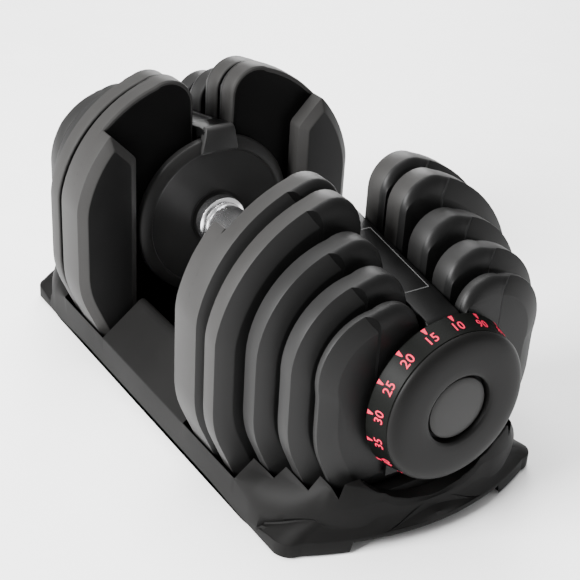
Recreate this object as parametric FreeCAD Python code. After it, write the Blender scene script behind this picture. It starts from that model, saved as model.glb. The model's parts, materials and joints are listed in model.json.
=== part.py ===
"""Adjustable dumbbell in its storage tray, written as one STEP file per piece.

Frame: X runs along the handle, Y across it and Z up. The origin is on the floor,
under the middle of the grip. Every piece of an end is built on the +X side and
mirrored to -X. Plates are numbered 1 to 5 from the grip outwards.
"""
import FreeCAD, Part
import math
import os

Vec = FreeCAD.Vector
os.makedirs("parts", exist_ok=True)

# ---------------------------------------------------------------- driving sizes, mm
axis_z = 100.0             # height of the handle's axis above the floor
half_length = 222.0        # outer face of a dial

# weight plates: inner face, outer face, half width, crown height,
# top and bottom of the upright side, underside
PLATES = [
    dict(x0=87.0, x1=107.0, w=118.0, top=213.0, side_top=131.0, side_low=61.0, low=8.0),
    dict(x0=110.0, x1=129.0, w=117.0, top=209.5, side_top=128.0, side_low=62.0, low=9.0),
    dict(x0=135.5, x1=154.5, w=103.0, top=192.0, side_top=124.0, side_low=70.0, low=20.0),
    dict(x0=162.0, x1=180.0, w=94.5, top=181.0, side_top=121.0, side_low=76.0, low=28.0),
    dict(x0=185.0, x1=195.5, w=84.0, top=168.5, side_top=117.0, side_low=79.0, low=36.0),
]
slot_half = 16.0           # half width of the open slot that the shaft lies in
crown_r = 22.0             # rounding of a plate's two upper ears
crown_end_deg = 62.0       # where the ear's rounding meets the sloping shoulder
shoulder_bulge = 14.5      # how far the shoulder arc stands out from its chord
lower_lean = 0.4375        # sideways run of the lower chamfer for each mm of height
face_bevel_w = 11.0        # width of the bevel round a plate's outer face
face_bevel_d = 5.0         # depth of that bevel
hook_r = 26.0              # round recess in a plate's outer face for its selector
hook_depth = 4.0
cover_t = 1.2              # plastic cover over a plate's steel core
core_gap = 2.0             # core set in from the cover's outline

block_x0 = 69.0            # inner face of plate 1's thick side blocks
block_y0 = 70.5            # inner edge of a block
block_edge_z = 163.5       # where the block's sloping top starts
block_slope = 1.06         # rise of that edge for each mm outwards
block_chamfer = 5.0

# handle
shaft_r = 8.0
shaft_half = 208.0
grip_half = 75.8
grip_r = 17.5
grip_collar_r = 19.5
grip_collar_l = 9.0
disc_x0 = 76.0             # inner disc, a shallow cup towards the plates
disc_x1 = 84.5
disc_back_x1 = 86.4
disc_r = 65.5
disc_wall = 2.2
disc_rim_t = 7.0
disc_edge_r = 4.0
disc_screw_r = 60.9        # circle of the four screws on a disc's rim
disc_screw_l = 5.0         # how deep a screw goes into the rim
disc_back_step = 2.5       # back plate smaller than the disc by this
screw_r = 1.5
screw_room = 0.1           # room round a screw in its hole
tube_r = 12.0              # keyed drive tube round the shaft
run_gap = 0.06             # running clearance on the radius
bridge_half = 13.0
bridge_x1 = 198.2
bridge_top_in = 175.0      # top of the bridge at the inner disc
bridge_top_out = 152.0     # and at the dial
bridge_t = 12.0
tab_x0 = 73.4
tab_low = 150.0
tab_spread = 2.0           # tab wider at its foot and narrower at its top by this
housing_x0 = 196.2         # plate between the last weight plate and the dial
housing_r = 50.0
tongue_half = 34.0
tongue_low = 47.0

# dial
dial_x0 = 199.2
rim_r_in = 56.0            # dial radius beside the plates
rim_r_out = 51.5           # and at its outer face
rim_x1 = 216.0
dial_web = 3.0
face_r = 50.0
face_recess_r = 23.5
cap_r = 21.5
cap_x1 = 219.0
cap_crown = 0.6            # rise of the cap's middle above its edge
face_x0 = 213.0
face_edge = 4.0
nut_r = 12.0               # over the corners
nut_t = 5.0
nut_gap = 0.4
positions = 17             # click positions in one turn
notches_each = 4           # index notches for each click position

# lock
ring_r = 20.0
ring_x0 = 79.0
ring_x1 = 84.0
notch_depth = 3.4
notch_half = 0.6
tooth_half = 0.4           # the sliding tooth that drops into a notch
slider_x0 = 80.0
slider_x1 = 83.0
slider_w = 29.0
slider_low = 66.0
slider_top = 131.0
slider_gap = 0.4           # room round the slider in the disc's slot
window_r = 24.5
tooth_gap = 1.0
stem_half = 2.8
post_top = 40.0
post_play = 0.2
post_foot_half = 9.0
post_foot_in = 6.0         # how far a post's foot reaches in front of the slider
post_foot_out = 3.0
post_foot_top = 10.0
post_screw_y = 6.0
post_screw_head_r = 2.6
post_screw_head_t = 1.6
spring_r = 3.0
spring_wire = 0.6
spring_play = 0.4
spring_top = 148.0

# selector discs
selector_r = 15.4
lip_r = 24.0
lip_half_deg = 38.0
selector_t = 3.0

# tray
tray_w = 105.0             # half width
tray_low = 1.5
shoulder_z = 30.0          # top of the upright side wall
crest_y = 72.0
crest_z = 53.0
crest_flat = 4.0           # flat half width on top of a rail
basin_y = 64.0
basin_x = 64.0
basin_z = 12.0
lip_corner_x = 193.0
lip_end_x = 215.0
lip_top = 13.0
lip_corner_r = 12.0
body_end_x = 207.0
body_corner_r = 46.0
end_slope_top_x = 203.0
pocket_gap = 1.2
end_wall_x = 199.0
scoop_r = 71.0
arch_half_y = 62.0
arch_top = 9.0
arch_x0 = 186.0
side_arch_half = 150.0
side_arch_top = 5.0
side_arch_in = 99.0
foot_r = 11.0
foot_x = 180.0
foot_y = 84.0
foot_t = 4.0


# ---------------------------------------------------------------- helpers
def export(shape, node):
    """Write one node's STEP file."""
    shape.exportStep("parts/" + node + ".step")


def line(a, b):
    return Part.makeLine(a, b)


def arc(a, middle, b):
    return Part.Arc(a, middle, b).toShape()


def polygon_prism(points, direction):
    """Closed polygon of vectors, pushed along a vector."""
    wire = Part.makePolygon(points + [points[0]])
    return Part.Face(wire).extrude(direction)


def rod(radius, x0, x1, y=0.0, z=axis_z):
    """Round bar along X."""
    return Part.makeCylinder(radius, x1 - x0, Vec(x0, y, z), Vec(1, 0, 0))


def tube(outer, inner, x0, x1):
    return rod(outer, x0, x1).cut(rod(inner, x0 - 1, x1 + 1))


def box(x0, x1, y0, y1, z0, z1):
    return Part.makeBox(x1 - x0, y1 - y0, z1 - z0, Vec(x0, y0, z0))


def mirrored(shape):
    """The same piece on the other end of the handle."""
    return shape.mirror(Vec(0, 0, 0), Vec(1, 0, 0))


def turned_profile(points):
    """Solid of revolution about the handle's axis from (x, radius) points."""
    outline = [Vec(x, 0, axis_z + r) for x, r in points]
    wire = Part.makePolygon(outline + [outline[0]])
    return Part.Face(wire).revolve(Vec(0, 0, axis_z), Vec(1, 0, 0), 360)


def both_ends(shape, name):
    export(shape, name + "_right")
    export(mirrored(shape), name + "_left")


# ---------------------------------------------------------------- weight plates
def outline_points(plate, inset, slot=slot_half):
    """Points of half a plate's outline, drawn in by inset, as (y, z) pairs."""
    w = plate["w"] - inset
    side_top = plate["side_top"] - 0.45 * inset
    side_low = plate["side_low"] + 0.45 * inset
    low = plate["low"] + inset
    radius = crown_r - 0.5 * max(inset, 0.0)
    centre_y = slot_half + radius
    centre_z = plate["top"] - inset - radius
    end = math.radians(crown_end_deg)
    middle = math.radians((180.0 + crown_end_deg) / 2)
    crown_end = (centre_y + radius * math.cos(end), centre_z + radius * math.sin(end))
    edge_r = centre_y - slot
    run = w - crown_end[0]
    drop = crown_end[1] - side_top
    chord = math.hypot(run, drop)
    return dict(
        foot=(w - (side_low - low) * lower_lean, low),
        side_low=(w, side_low),
        side_top=(w, side_top),
        bulge=(crown_end[0] + run / 2 + drop / chord * shoulder_bulge,
               side_top + drop / 2 + run / chord * shoulder_bulge),
        crown_end=crown_end,
        crown_mid=(centre_y + edge_r * math.cos(middle), centre_z + radius * math.sin(middle)),
        slot_top=(slot, centre_z))


def plate_outline(plate, x, inset, slot=slot_half):
    """Closed outline of a plate in the plane X = x; a slot of 0 leaves the slot out."""
    at = outline_points(plate, inset, slot)
    low = at["foot"][1]
    edges = []
    for side in (1, -1):
        def p(y, z):
            return Vec(x, side * y, z)
        edges.append(line(p(0, low), p(*at["foot"])))
        edges.append(line(p(*at["foot"]), p(*at["side_low"])))
        edges.append(line(p(*at["side_low"]), p(*at["side_top"])))
        edges.append(arc(p(*at["side_top"]), p(*at["bulge"]), p(*at["crown_end"])))
        if slot:
            edges.append(arc(p(*at["crown_end"]), p(*at["crown_mid"]), p(*at["slot_top"])))
            edges.append(line(p(*at["slot_top"]), p(slot, axis_z)))
        else:
            edges.append(line(p(*at["crown_end"]), p(0, at["crown_end"][1])))
    if slot:
        edges.append(arc(Vec(x, slot, axis_z), Vec(x, 0, axis_z - slot), Vec(x, -slot, axis_z)))
    return Part.Wire(Part.__sortEdges__(edges))


def plate_prism(plate, x0, x1, inset, slot=slot_half):
    face = Part.Face(plate_outline(plate, x0, inset, slot))
    return face.extrude(Vec(x1 - x0, 0, 0))


def plate_body(plate):
    """Plate with the wide bevel round its outer face and its selector recess."""
    bevel_x = plate["x1"] - face_bevel_d
    body = plate_prism(plate, plate["x0"], bevel_x, 0.0)
    outer = Part.makeLoft([plate_outline(plate, bevel_x, 0.0),
                           plate_outline(plate, plate["x1"], face_bevel_w)], True, True)
    body = body.fuse(outer)
    return body.cut(rod(hook_r, plate["x1"] - hook_depth, plate["x1"] + 1))


def plate_core(plate):
    """Steel slab inside the plate's cover, with the same bevel."""
    x1 = plate["x1"] - cover_t
    bevel_x = x1 - face_bevel_d
    slot = slot_half + core_gap
    core = plate_prism(plate, plate["x0"] + cover_t, bevel_x, core_gap, slot)
    outer = Part.makeLoft([plate_outline(plate, bevel_x, core_gap, slot),
                           plate_outline(plate, x1, core_gap + face_bevel_w, slot)], True, True)
    recess = rod(hook_r + cover_t, x1 - hook_depth, plate["x1"])
    return core.fuse(outer).cut(recess)


def block_outline(plate, side, x, inset):
    """Outline of a thick side block, whose top slopes up to the plate's shoulder."""
    at = outline_points(plate, inset)
    y0 = block_y0 + inset
    z0 = block_edge_z - 0.4 * inset
    shoulder = arc(Vec(0, *at["side_top"]), Vec(0, *at["bulge"]), Vec(0, *at["crown_end"])).Curve
    back_y = y0 - shoulder.Center.y
    back_z = z0 - shoulder.Center.z
    square = 1.0 + block_slope ** 2
    half_b = back_y + block_slope * back_z
    c = back_y ** 2 + back_z ** 2 - shoulder.Radius ** 2
    run = (math.sqrt(half_b ** 2 - square * c) - half_b) / square
    meet = (y0 + run, z0 + block_slope * run)
    start = shoulder.parameter(Vec(0, *at["side_top"]))
    end = shoulder.parameter(Vec(0, *meet))
    middle = shoulder.value((start + end) / 2)

    def p(y, z):
        return Vec(x, side * y, z)
    low = at["foot"][1]
    edges = [line(p(y0, low), p(*at["foot"])), line(p(*at["foot"]), p(*at["side_low"])),
             line(p(*at["side_low"]), p(*at["side_top"])),
             arc(p(*at["side_top"]), p(middle.y, middle.z), p(*meet)),
             line(p(*meet), p(y0, z0)), line(p(y0, z0), p(y0, low))]
    return Part.Wire(Part.__sortEdges__(edges))


def side_block(plate, side, inset, x0, x1):
    """Thick block on one side of plate 1, chamfered round its inner face."""
    flat_x = x0 + block_chamfer
    tip = Part.makeLoft([block_outline(plate, side, x0, inset + block_chamfer),
                         block_outline(plate, side, flat_x, inset)], True, True)
    rest = Part.Face(block_outline(plate, side, flat_x, inset)).extrude(Vec(x1 - flat_x, 0, 0))
    return tip.fuse(rest)


def first_plate(plate):
    """Plate 1, whose sides are thickened by two bevelled blocks."""
    blocks = [side_block(plate, side, 0.0, block_x0, plate["x0"]) for side in (1, -1)]
    return plate_body(plate).fuse(blocks).removeSplitter()


def first_core(plate):
    x0 = block_x0 + cover_t
    x1 = plate["x0"] + 2 * cover_t
    blocks = [side_block(plate, side, core_gap, x0, x1) for side in (1, -1)]
    return plate_core(plate).fuse(blocks).removeSplitter()


def make_plates():
    for number, plate in enumerate(PLATES, start=1):
        if number == 1:
            body = first_plate(plate)
            core = first_core(plate)
        else:
            body = plate_body(plate)
            core = plate_core(plate)
        both_ends(body.cut(core), "plate_%d" % number)
        both_ends(core, "plate_core_%d" % number)


# ---------------------------------------------------------------- handle
def grip_sleeve():
    """Chromed grip: a gentle barrel between two collars, bored for the shaft."""
    sleeve = turned_profile([
        (-grip_half, 0.01), (-grip_half, grip_collar_r - 1), (-grip_half + 1, grip_collar_r),
        (-grip_half + grip_collar_l, grip_collar_r), (-grip_half + grip_collar_l + 3, grip_r - 1.5),
        (-20, grip_r), (20, grip_r), (grip_half - grip_collar_l - 3, grip_r - 1.5),
        (grip_half - grip_collar_l, grip_collar_r), (grip_half - 1, grip_collar_r),
        (grip_half, grip_collar_r - 1), (grip_half, 0.01)])
    return sleeve.cut(rod(shaft_r, -grip_half - 1, grip_half + 1))


def centre_shaft():
    return rod(shaft_r, -shaft_half, shaft_half)


def inner_disc():
    """Round cup that guards the hand from the plates and houses the lock."""
    cup = rod(disc_r, disc_x0, disc_x1)
    rim = [e for e in cup.Edges if abs(e.BoundBox.XMax - disc_x0) < 0.01]
    cup = cup.makeFillet(disc_edge_r, rim)
    cup = cup.cut(rod(disc_r - disc_rim_t, disc_x0 + disc_wall, disc_x1 + 1))
    cup = cup.cut(rod(shaft_r, disc_x0 - 1, disc_x1 + 1))
    stem_slot = box(slider_x0 - slider_gap, slider_x1 + slider_gap,
                    -stem_half - slider_gap, stem_half + slider_gap,
                    axis_z - disc_r - 1, axis_z - disc_r + disc_rim_t + 1)
    holes = disc_screw_rods(screw_r + screw_room, disc_x1 - disc_screw_l - screw_room, disc_x1 + 1)
    return cup.cut([stem_slot] + holes)


def disc_back():
    """Plate that closes the cup; the drive tube runs in its hole."""
    back = rod(disc_r - disc_back_step, disc_x1, disc_back_x1)
    holes = disc_screw_rods(screw_r + screw_room, disc_x1 - 1, disc_back_x1 + 1)
    return back.cut([rod(tube_r + run_gap, disc_x1 - 1, disc_back_x1 + 1)] + holes)


def bridge_top(x):
    share = (x - disc_x0) / (bridge_x1 - disc_x0)
    return bridge_top_in + (bridge_top_out - bridge_top_in) * share


def bridge():
    """Arm in the plates' slots, from a tab on the inner disc to the pointer at the dial."""
    x_leg = disc_back_x1
    arm = polygon_prism([
        Vec(disc_x0, -bridge_half, axis_z + disc_r), Vec(disc_x0, -bridge_half, bridge_top(disc_x0)),
        Vec(bridge_x1, -bridge_half, bridge_top(bridge_x1)),
        Vec(bridge_x1, -bridge_half, bridge_top(bridge_x1) - bridge_t),
        Vec(x_leg, -bridge_half, axis_z + disc_r - 2.0), Vec(x_leg, -bridge_half, axis_z + disc_r)],
        Vec(0, 2 * bridge_half, 0))
    tab = polygon_prism([
        Vec(tab_x0, -bridge_half - tab_spread, tab_low), Vec(tab_x0, bridge_half + tab_spread, tab_low),
        Vec(tab_x0, bridge_half - tab_spread, bridge_top_in),
        Vec(tab_x0, -bridge_half + tab_spread, bridge_top_in)],
        Vec(disc_x0 - tab_x0, 0, 0))
    arm = arm.fuse(tab).removeSplitter()
    keep_clear = rod(disc_r, disc_x0, disc_back_x1 + 0.01)
    return arm.cut(keep_clear).cut(rod(housing_r, housing_x0, bridge_x1 + 1))


def end_housing():
    """Thin carrier between the last plate and the dial, with a square tongue below."""
    plate = rod(housing_r, housing_x0, bridge_x1)
    tongue = box(housing_x0, bridge_x1, -tongue_half, tongue_half, tongue_low, axis_z)
    plate = plate.fuse(tongue).removeSplitter()
    return plate.cut(rod(tube_r + run_gap, housing_x0 - 1, bridge_x1 + 1))


def disc_screw_rods(radius, x0, x1):
    """Four bars on the inner disc's rim, for its screws and their holes."""
    rods = []
    for angle in (45, 135, 225, 315):
        y = disc_screw_r * math.cos(math.radians(angle))
        z = axis_z + disc_screw_r * math.sin(math.radians(angle))
        rods.append(rod(radius, x0, x1, y, z))
    return rods


def housing_screws():
    """Screws that join the inner discs and their back plates."""
    screws = disc_screw_rods(screw_r, disc_x1 - disc_screw_l, disc_back_x1)
    return Part.makeCompound(screws + [mirrored(screw) for screw in screws])


def shaft_nut():
    """Hexagon nut that holds the dial on the shaft's end."""
    x0 = dial_x0 + dial_web + nut_gap
    corners = []
    for step in range(6):
        angle = math.radians(60 * step)
        corners.append(Vec(x0, nut_r * math.cos(angle), axis_z + nut_r * math.sin(angle)))
    nut = polygon_prism(corners, Vec(nut_t, 0, 0))
    return nut.cut(rod(shaft_r, dial_x0, half_length))


# ---------------------------------------------------------------- lock
def index_ring():
    """Finely notched ring on the drive tube; the notches repeat at every click position."""
    ring = tube(ring_r, tube_r, ring_x0, ring_x1)
    notch = box(ring_x0 - 1, ring_x1 + 1, -notch_half, notch_half,
                axis_z + ring_r - notch_depth, axis_z + ring_r + 1)
    notches = []
    for step in range(positions * notches_each):
        turned = notch.copy()
        turned.rotate(Vec(0, 0, axis_z), Vec(1, 0, 0), 360.0 / (positions * notches_each) * step)
        notches.append(turned)
    return ring.cut(notches)


def lock_slider():
    """Yoke round the index ring: its tooth drops into a notch as the handle lifts."""
    yoke = box(slider_x0, slider_x1, -slider_w, slider_w, slider_low, slider_top)
    yoke = yoke.cut(rod(window_r, slider_x0 - 1, slider_x1 + 1))
    tooth = box(slider_x0, slider_x1, -tooth_half, tooth_half,
                axis_z + ring_r + tooth_gap, slider_top - 1)
    stem = box(slider_x0, slider_x1, -stem_half, stem_half, post_top + post_play, slider_low + 1)
    return yoke.fuse([tooth, stem]).removeSplitter()


def lock_spring():
    """Coil spring over the yoke, drawn as a round sleeve."""
    height = spring_top - slider_top - 0.1
    radius = spring_r - spring_play
    at = Vec((slider_x0 + slider_x1) / 2, 0, slider_top + 0.1)
    outer = Part.makeCylinder(radius, height, at, Vec(0, 0, 1))
    return outer.cut(Part.makeCylinder(radius - spring_wire, height, at, Vec(0, 0, 1)))


# ---------------------------------------------------------------- dial and selectors
def drive_tube():
    return tube(tube_r, shaft_r + run_gap, ring_x0, dial_x0 + dial_web)


def selector(plate):
    """Disc whose lip swings under the plate's shoulder to pick it up."""
    x1 = plate["x1"] - 0.5
    x0 = x1 - selector_t
    hub = rod(selector_r, x0, x1)
    half = math.radians(lip_half_deg)
    start = Vec(x0, -lip_r * math.sin(half), axis_z - lip_r * math.cos(half))
    end = Vec(x0, lip_r * math.sin(half), axis_z - lip_r * math.cos(half))
    centre = Vec(x0, 0, axis_z)
    edges = [line(centre, start), arc(start, Vec(x0, 0, axis_z - lip_r), end), line(end, centre)]
    lip = Part.Face(Part.Wire(edges)).extrude(Vec(selector_t, 0, 0))
    return hub.fuse(lip).removeSplitter().cut(rod(tube_r, x0 - 1, x1 + 1))


def dial_ring():
    """Tapered number ring with a web that carries it on the drive tube."""
    ring = turned_profile([
        (dial_x0, tube_r), (dial_x0, rim_r_in), (dial_x0 + 2, rim_r_in + 0.3), (rim_x1, rim_r_out),
        (rim_x1, rim_r_out - 4), (dial_x0 + dial_web, rim_r_in - 6), (dial_x0 + dial_web, tube_r)])
    return ring


def dial_face():
    """Crowned outer cover with a rounded edge and a round recess for the cap."""
    face = turned_profile([
        (rim_x1, face_recess_r), (rim_x1, rim_r_out + 0.3), (half_length - face_edge, rim_r_out + 0.3),
        (half_length - 1.2, face_r - 1.2), (half_length, face_r - face_edge - 3),
        (half_length - 0.8, face_recess_r)])
    floor = tube(face_recess_r, shaft_r + run_gap + 6, face_x0 - 1, face_x0)
    wall = tube(face_recess_r + 2, face_recess_r, face_x0 - 1, rim_x1)
    return face.fuse([floor, wall]).removeSplitter()


def dial_cap():
    """Round cap in the face's recess."""
    return turned_profile([
        (face_x0, 0.0), (face_x0, cap_r), (cap_x1 - 1.0, cap_r), (cap_x1, cap_r - 1.5), (cap_x1 + cap_crown, 0.0)])


# ---------------------------------------------------------------- tray
def rounded_plan(end_x, corner_x, corner_r, z0, z1):
    """Plan with bowed ends and rounded corners, pushed up from z0 to z1."""
    def p(x, y):
        return Vec(x, y, z0)
    edges = []
    knee_x = corner_x - corner_r
    knee_y = tray_w - corner_r
    diag = corner_r / math.sqrt(2)
    for sx in (1, -1):
        edges.append(arc(p(sx * corner_x, -knee_y), p(sx * end_x, 0), p(sx * corner_x, knee_y)))
        for sy in (1, -1):
            edges.append(arc(p(sx * corner_x, sy * knee_y),
                             p(sx * (knee_x + diag), sy * (knee_y + diag)),
                             p(sx * knee_x, sy * tray_w)))
    for sy in (1, -1):
        edges.append(line(p(knee_x, sy * tray_w), p(-knee_x, sy * tray_w)))
    wire = Part.Wire(Part.__sortEdges__(edges))
    return Part.Face(wire).extrude(Vec(0, 0, z1 - z0))


def rail_section():
    """Cross-section of the tray between its ends: two sloping rails."""
    half = [(tray_w, tray_low), (tray_w, shoulder_z), (crest_y + crest_flat, crest_z - 1.5),
            (crest_y, crest_z), (crest_y - crest_flat, crest_z - 1.5)]
    points = [Vec(-half_length, -y, z) for y, z in half]
    points += [Vec(-half_length, y, z) for y, z in reversed(half)]
    return polygon_prism(points, Vec(2 * half_length, 0, 0))


def end_slope():
    """Side view of the upper body, which leans back at both ends."""
    half = [(body_end_x + 4, tray_low), (body_end_x + 4, lip_top), (end_slope_top_x, crest_z - 3),
            (end_slope_top_x - 6, crest_z + 1)]
    points = [Vec(-x, -tray_w - 1, z) for x, z in half]
    points += [Vec(x, -tray_w - 1, z) for x, z in reversed(half)]
    return polygon_prism(points, Vec(0, 2 * tray_w + 2, 0))


def pockets():
    """Space for the plates, the dials and the hand, with room round each."""
    first = PLATES[0]
    cuts = []
    starts = [block_x0 - 3.0] + [p["x0"] - 2.4 for p in PLATES[2:]] + [end_wall_x]
    shapes = [first] + PLATES[2:]
    for plate, x0, x1 in zip(shapes, starts, starts[1:]):
        pocket = plate_prism(plate, x0, x1, -pocket_gap, slot=0)
        cuts += [pocket, mirrored(pocket)]
    scoop = rod(scoop_r, end_wall_x - 2, half_length + 10)
    cuts += [scoop, mirrored(scoop)]
    cuts.append(box(-basin_x - 10, basin_x + 10, -basin_y, basin_y, basin_z, 200))
    return cuts


def tray_base():
    """Moulded tray: upper body with rails, lower lip, feet corners and arches."""
    body = rounded_plan(body_end_x, body_end_x - 2, body_corner_r, tray_low, crest_z + 5)
    body = body.common(rail_section()).common(end_slope())
    lip = rounded_plan(lip_end_x, lip_corner_x, lip_corner_r, tray_low, lip_top)
    tray = body.fuse(lip)
    tray = tray.cut(pockets())
    under = []
    for sx in (1, -1):
        x0, x1 = sorted((sx * arch_x0, sx * (half_length + 5)))
        under.append(box(x0, x1, -arch_half_y, arch_half_y, 0, arch_top))
    for sy in (1, -1):
        y0, y1 = sorted((sy * side_arch_in, sy * (tray_w + 1)))
        under.append(box(-side_arch_half, side_arch_half, y0, y1, 0, side_arch_top))
    under += foot_pads(0.0)
    return tray.cut(under).removeSplitter()


def foot_pads(shrink):
    pads = []
    for sx in (1, -1):
        for sy in (1, -1):
            pads.append(Part.makeCylinder(foot_r - shrink, foot_t, Vec(sx * foot_x, sy * foot_y, 0)))
    return pads


def release_posts():
    """Two upright posts that push the lock sliders up while the dumbbell is docked."""
    floor = PLATES[0]["low"] - pocket_gap
    post = box(slider_x0 + post_play, slider_x1 - post_play, -stem_half, stem_half, floor, post_top)
    foot = box(slider_x0 - post_foot_in, slider_x1 + post_foot_out,
               -post_foot_half, post_foot_half, floor, post_foot_top)
    post = post.fuse(foot).removeSplitter()
    x = (slider_x0 + slider_x1) / 2
    holes = [Part.makeCylinder(screw_r, 2 * post_foot_top, Vec(x, y, 0))
             for y in (-post_screw_y, post_screw_y)]
    post = post.cut(holes)
    return Part.makeCompound([post, mirrored(post)])


def post_screws():
    screws = []
    floor = PLATES[0]["low"] - pocket_gap
    x = (slider_x0 + slider_x1) / 2
    for y in (-post_screw_y, post_screw_y):
        stem = Part.makeCylinder(screw_r, post_foot_top - floor, Vec(x, y, floor))
        head = Part.makeCylinder(post_screw_head_r, post_screw_head_t, Vec(x, y, post_foot_top))
        screw = stem.fuse(head).removeSplitter()
        screws += [screw, mirrored(screw)]
    return Part.makeCompound(screws)


# ---------------------------------------------------------------- write every node
make_plates()
export(grip_sleeve(), "grip_sleeve")
export(centre_shaft(), "centre_shaft")
both_ends(inner_disc(), "inner_disc")
both_ends(disc_back(), "disc_back")
both_ends(bridge(), "bridge")
both_ends(end_housing(), "end_housing")
export(housing_screws(), "housing_screws")
export(Part.makeCompound([shaft_nut(), mirrored(shaft_nut())]), "shaft_nuts")
both_ends(index_ring(), "index_ring")
both_ends(lock_slider(), "lock_slider")
export(Part.makeCompound([lock_spring(), mirrored(lock_spring())]), "lock_springs")
both_ends(drive_tube(), "drive_tube")
for number, plate in enumerate(PLATES, start=1):
    both_ends(selector(plate), "selector_%d" % number)
both_ends(dial_ring(), "dial_ring")
both_ends(dial_face(), "dial_face")
both_ends(dial_cap(), "dial_cap")
export(tray_base(), "tray_base")
export(Part.makeCompound(foot_pads(0.3)), "rubber_feet")
export(release_posts(), "release_posts")
export(post_screws(), "post_screws")
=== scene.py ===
import json
import math

import bmesh
import bpy
from mathutils import Matrix, Vector


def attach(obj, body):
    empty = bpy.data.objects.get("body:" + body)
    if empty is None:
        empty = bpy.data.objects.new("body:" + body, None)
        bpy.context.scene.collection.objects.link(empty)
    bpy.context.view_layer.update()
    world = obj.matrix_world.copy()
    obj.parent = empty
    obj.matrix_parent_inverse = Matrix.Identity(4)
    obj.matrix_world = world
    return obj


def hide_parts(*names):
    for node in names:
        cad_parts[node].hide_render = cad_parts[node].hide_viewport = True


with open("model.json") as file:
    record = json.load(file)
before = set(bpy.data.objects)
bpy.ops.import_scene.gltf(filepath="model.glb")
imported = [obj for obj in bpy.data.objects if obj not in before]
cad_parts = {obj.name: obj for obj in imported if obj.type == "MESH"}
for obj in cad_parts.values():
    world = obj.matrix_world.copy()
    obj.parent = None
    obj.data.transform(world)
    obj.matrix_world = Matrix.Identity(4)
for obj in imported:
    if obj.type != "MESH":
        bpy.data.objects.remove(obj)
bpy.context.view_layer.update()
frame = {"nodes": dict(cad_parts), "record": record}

MM = 0.001
AXIS_Z = 100.0
SIDES = {"right": 1.0, "left": -1.0}

# ------------------------------------------------------------------ sizes, mm
PLATES = [
    dict(x0=87.0, x1=107.0, w=118.0, top=213.0, side_top=131.0, side_low=61.0, low=8.0),
    dict(x0=110.0, x1=129.0, w=117.0, top=209.5, side_top=128.0, side_low=62.0, low=9.0),
    dict(x0=135.5, x1=154.5, w=103.0, top=192.0, side_top=124.0, side_low=70.0, low=20.0),
    dict(x0=162.0, x1=180.0, w=94.5, top=181.0, side_top=121.0, side_low=76.0, low=28.0),
    dict(x0=185.0, x1=195.5, w=84.0, top=168.5, side_top=117.0, side_low=79.0, low=36.0),
]
SLOT_HALF = 16.0          # half width of the slot between a plate's two ears
CROWN_R = 22.0            # rounding of an ear's top
CROWN_END = math.radians(62.0)
SHOULDER_BULGE = 14.5     # how far the shoulder's arc stands off its chord
LOWER_LEAN = 0.4375       # how far the lower side leans in for each mm of height
BEVEL_W = 12.0            # width of the bevel round a plate's outer face
BEVEL_X0 = 5.5            # where the bevel starts, back from a plate's outer face
BEVEL_X1 = 0.9            # and where it ends
PAD_Y = 46.5              # outer edge of an ear's raised pad
PAD_LEAN = 1.7            # how far the pad's end wall runs out for each mm of depth
PAD_LOW = 122.0           # lower edge of the pad
EAR_INSET = 10.0          # the most that an ear's own edge draws in
HOOK_R = 26.0             # round recess at the slot's bottom, in a plate's outer face
HOOK_DEPTH = 4.0
HOOK_POINTS = 13
SHOULDER_POINTS = 15
CROWN_POINTS = 12

BLOCK_X0 = 69.0           # inner face of plate 1's side blocks
BLOCK_Y0 = 70.5           # their edge towards the handle
BLOCK_EDGE_Z = 163.5      # height of the top corner on that edge
BLOCK_SLOPE = 1.06        # rise of the top for each mm outwards

DISC_X0 = 76.0
DISC_X1 = 84.5
DISC_R = 65.5
GRIP_HALF = 75.8

BRIDGE_X0, BRIDGE_Z0 = 76.0, 175.0      # the bridge's top runs down from here
BRIDGE_X1, BRIDGE_Z1 = 198.2, 152.0     # to here

DIAL_X0 = 199.2
RIM_IN_R = 56.0
RIM_OUT_R = 51.8
RIM_X1 = 216.0
HALF_LENGTH = 222.0
SETTINGS = range(10, 95, 5)
POSITIONS = len(SETTINGS)
NUMBER_X = 209.6          # middle of the numbers
NUMBER_R = 54.0           # radius that they are wrapped round

TRAY_W = 105.0
SHOULDER_Z = 30.0
CREST_Y = 72.0
CREST_Z = 53.0


# ------------------------------------------------------------------ mesh helpers
def extruded_rings(bm, rings):
    """Closed body: one outline face, extruded ring by ring; each ring has the same points."""
    spot = bm.verts.layers.int.new("spot")
    start = [bm.verts.new(p) for p in rings[0]]
    for number, vert in enumerate(start):
        vert[spot] = number
    cap = bm.faces.new(start)
    bands = []
    for ring in rings[1:]:
        left_behind = cap
        grown = bmesh.ops.extrude_face_region(bm, geom=[cap])["geom"]
        cap = next(g for g in grown if isinstance(g, bmesh.types.BMFace))
        if bands:
            bmesh.ops.delete(bm, geom=[left_behind], context="FACES_ONLY")
        for vert in cap.verts:
            vert.co = ring[vert[spot]]
        band = {f for e in cap.edges for f in e.link_faces if f is not cap}
        bands.append(band)
    return bands, cap


def lathe(bm, profile, steps=96):
    """Body of revolution about the handle's axis from (x, radius) points in mm."""
    verts = [bm.verts.new((x, 0.0, AXIS_Z + r)) for x, r in profile]
    edges = [bm.edges.new(pair) for pair in zip(verts, verts[1:])]
    bmesh.ops.spin(bm, geom=verts + edges, cent=(0, 0, AXIS_Z), axis=(1, 0, 0),
                   angle=math.tau, steps=steps, use_merge=True, use_duplicate=False)
    bmesh.ops.remove_doubles(bm, verts=bm.verts, dist=0.001)


def slab(bm, outline, direction):
    """Flat outline of points, extruded along a direction."""
    face = bm.faces.new([bm.verts.new(p) for p in outline])
    grown = bmesh.ops.extrude_face_region(bm, geom=[face])["geom"]
    moved = [g for g in grown if isinstance(g, bmesh.types.BMVert)]
    bmesh.ops.translate(bm, verts=moved, vec=direction)


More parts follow.
